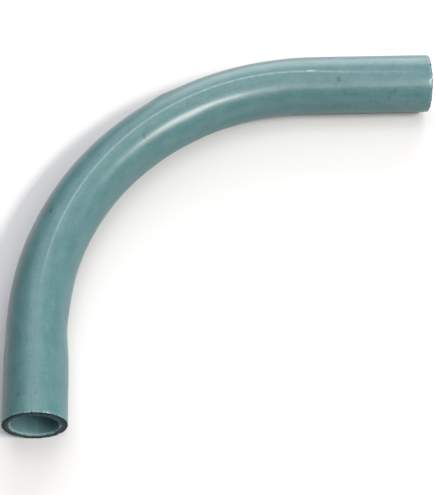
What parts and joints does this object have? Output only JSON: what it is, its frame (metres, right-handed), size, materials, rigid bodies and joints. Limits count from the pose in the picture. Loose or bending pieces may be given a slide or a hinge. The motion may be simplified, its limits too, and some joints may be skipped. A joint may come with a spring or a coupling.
{
  "type": "conduit elbow",
  "caption": "Grey plastic conduit elbow: a round tube swept through a quarter turn, with short plain straight ends cut square and open at both mouths.",
  "frame": {"origin": "centre of the shorter leg's mouth, in the plane of its saw cut", "axes": "+Y runs into the shorter leg, +X leaves through the longer leg's mouth, +Z is square to the plane of the bend, and the elbow lies on its side"},
  "size_m": [0.1552, 0.1449, 0.0212],
  "materials": {
    "pvc": "extruded rigid PVC, blue-grey, faint lengthwise draw lines, low sheen"
  },
  "bodies": {
    "root": {"elbow": "pvc"}
  },
  "joints": []
}
